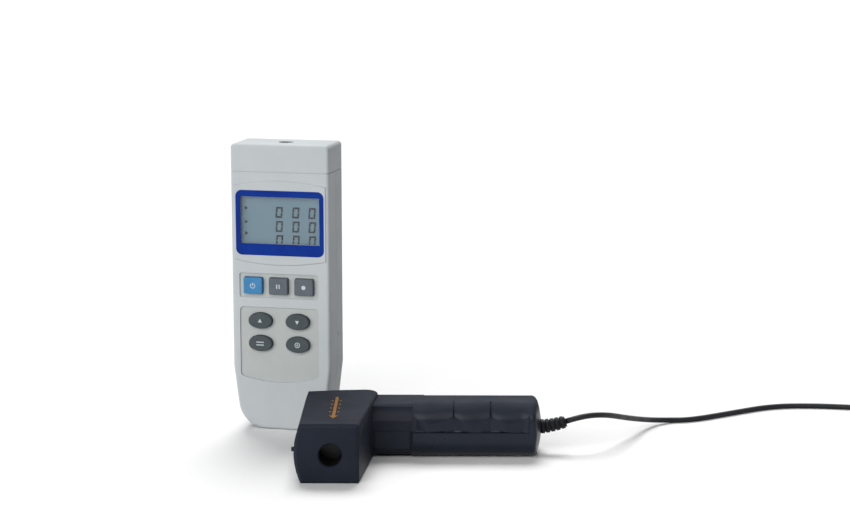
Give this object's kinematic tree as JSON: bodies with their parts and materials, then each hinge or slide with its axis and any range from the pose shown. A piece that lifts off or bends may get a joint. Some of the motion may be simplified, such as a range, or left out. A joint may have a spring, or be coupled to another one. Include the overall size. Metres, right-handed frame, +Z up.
{
  "type": "color meter",
  "caption": "Hand-held color meter with a framed display and keys, and a wired pistol-shaped sensor head that reads through a round aperture.",
  "frame": {"origin": "centre of the display unit's flat base, where it stands", "axes": "+Z up along the display unit, -Y out of its front face, +X to the right seen from the front"},
  "size_m": [0.4919, 0.352, 0.202],
  "materials": {
    "light_grey_shell": "fine satin moulded ABS",
    "blue_bezel": "printed blue, semi-gloss",
    "clear_lens": "clear acrylic window",
    "lcd_grey_green": "reflective grey-green liquid crystal display",
    "black_plastic": "black moulded plastic",
    "black_rubber": "matt black rubber",
    "grey_rubber": "grey silicone rubber",
    "green_board": "solder-masked circuit board",
    "plated_metal": "nickel-plated connector metal",
    "blue_plastic": "blue trimmer housing",
    "brass": "turned brass",
    "battery_jacket": "plain metal battery jacket",
    "steel": "zinc-plated steel",
    "blue_key": "mid blue key, satin",
    "grey_key": "dark grey key, satin",
    "probe_black": "blue-black fine-textured ABS",
    "optic_glass": "diffusing window",
    "lamp_white": "white lamp lens",
    "cord_jacket": "black flexible cord jacket"
  },
  "bodies": {
    "meter": {"front_shell": "light_grey_shell", "rear_shell": "light_grey_shell", "top_cap": "light_grey_shell", "display_bezel": "blue_bezel", "display_lens": "clear_lens", "lcd_glass": "lcd_grey_green", "lcd_holder": "black_plastic", "contact_strips": "black_rubber", "keypad_mat": "grey_rubber", "main_board": "green_board", "board_components": "black_plastic", "socket_shell": "plated_metal", "socket_insert": "black_plastic", "trimmer_body": "blue_plastic", "battery": "battery_jacket", "battery_snap": "black_plastic", "stand_pin": "steel", "tripod_insert": "brass", "case_screws": "steel", "cord_lead": "cord_jacket", "cord_coil": "cord_jacket", "plug_boot": "black_rubber", "plug_grip": "black_plastic", "plug_shell": "plated_metal", "plug_pins": "brass"},
    "probe": {"probe_upper_shell": "probe_black", "probe_lower_shell": "probe_black", "nose_plate": "probe_black", "aperture_tube": "black_plastic", "optic": "optic_glass", "sensor_board": "green_board", "color_sensor": "black_plastic", "lamps": "lamp_white", "end_cap": "probe_black", "strain_relief": "black_rubber", "probe_screws": "steel"},
    "power_key": {"power_key": "blue_key"},
    "hold_key": {"hold_key": "grey_key"},
    "record_key": {"record_key": "grey_key"},
    "upper_left_key": {"upper_left_key": "grey_key"},
    "upper_right_key": {"upper_right_key": "grey_key"},
    "lower_left_key": {"lower_left_key": "grey_key"},
    "lower_right_key": {"lower_right_key": "grey_key"},
    "battery_door": {"battery_door": "light_grey_shell"},
    "tilt_stand": {"tilt_stand": "light_grey_shell"},
    "trimmer_screw": {"trimmer_screw": "brass"}
  },
  "joints": [
    {"name": "power_press", "type": "slide", "parent": "meter", "child": "power_key", "axis": [0, 1, 0], "range_m": [0, 0.001], "stiffness_N_per_m": 300, "springref_m": -0.002},
    {"name": "hold_press", "type": "slide", "parent": "meter", "child": "hold_key", "axis": [0, 1, 0], "range_m": [0, 0.001], "stiffness_N_per_m": 300, "springref_m": -0.002},
    {"name": "record_press", "type": "slide", "parent": "meter", "child": "record_key", "axis": [0, 1, 0], "range_m": [0, 0.001], "stiffness_N_per_m": 300, "springref_m": -0.002},
    {"name": "upper_left_press", "type": "slide", "parent": "meter", "child": "upper_left_key", "axis": [0, 1, 0], "range_m": [0, 0.001], "stiffness_N_per_m": 300, "springref_m": -0.002},
    {"name": "upper_right_press", "type": "slide", "parent": "meter", "child": "upper_right_key", "axis": [0, 1, 0], "range_m": [0, 0.001], "stiffness_N_per_m": 300, "springref_m": -0.002},
    {"name": "lower_left_press", "type": "slide", "parent": "meter", "child": "lower_left_key", "axis": [0, 1, 0], "range_m": [0, 0.001], "stiffness_N_per_m": 300, "springref_m": -0.002},
    {"name": "lower_right_press", "type": "slide", "parent": "meter", "child": "lower_right_key", "axis": [0, 1, 0], "range_m": [0, 0.001], "stiffness_N_per_m": 300, "springref_m": -0.002},
    {"name": "battery_door_hinge", "type": "hinge", "parent": "meter", "child": "battery_door", "pos_m": [0, 0.0165, 0.0185], "axis": [-1, 0, 0], "range_deg": [0, 80]},
    {"name": "tilt_stand_hinge", "type": "hinge", "parent": "meter", "child": "tilt_stand", "pos_m": [0, 0.0167, 0.138], "axis": [1, 0, 0], "range_deg": [0, 60]},
    {"name": "contrast_turn", "type": "hinge", "parent": "meter", "child": "trimmer_screw", "pos_m": [0.031, 0.004, 0.0665], "axis": [1, 0, 0], "range_deg": [-135, 135]},
    {"name": "probe_lift", "type": "slide", "parent": "meter", "child": "probe", "axis": [0, 0, 1], "range_m": [0, 0.12]}
  ]
}
